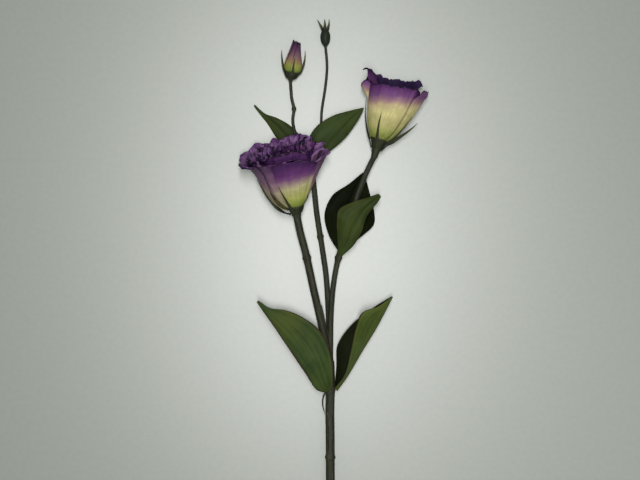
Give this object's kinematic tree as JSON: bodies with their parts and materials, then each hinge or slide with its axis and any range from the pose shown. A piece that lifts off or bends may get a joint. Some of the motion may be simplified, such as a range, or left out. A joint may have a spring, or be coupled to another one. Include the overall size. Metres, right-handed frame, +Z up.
{
  "type": "lisianthus flower",
  "caption": "Cut lisianthus spray lying flat: forked stem with a full double bloom, an opening cup bloom, buds and paired leaves.",
  "frame": {"origin": "on the surface it lies on, under the middle of its box", "axes": "+Y from the cut end of the stem to the buds, +Z up from the surface, +X to the open cup bloom's side"},
  "size_m": [0.1414, 0.3715, 0.0623],
  "materials": {
    "stem": "matte dark olive stem with fine lengthwise streaks",
    "leaf": "slightly waxy dark green leaf with a paler midrib",
    "calyx": "matte olive green",
    "petal": "soft matte petal, green at the root, cream, then deep purple at the rim",
    "bud_petal": "soft matte petal, yellow green at the root and mauve to purple at the tip",
    "pistil": "matte yellow green"
  },
  "bodies": {
    "root": {"stem": "stem", "leaf_lower_left": "leaf", "leaf_lower_right": "leaf", "leaf_middle_front": "leaf", "leaf_middle_back": "leaf", "leaf_upper_left": "leaf", "leaf_upper_right": "leaf", "bloom_left_petals": "petal", "bloom_left_calyx": "calyx", "bloom_right_petals": "petal", "bloom_right_calyx": "calyx", "bloom_right_pistil": "pistil", "bud_half_open_petals": "bud_petal", "bud_half_open_calyx": "calyx", "bud_closed": "calyx"}
  },
  "joints": []
}
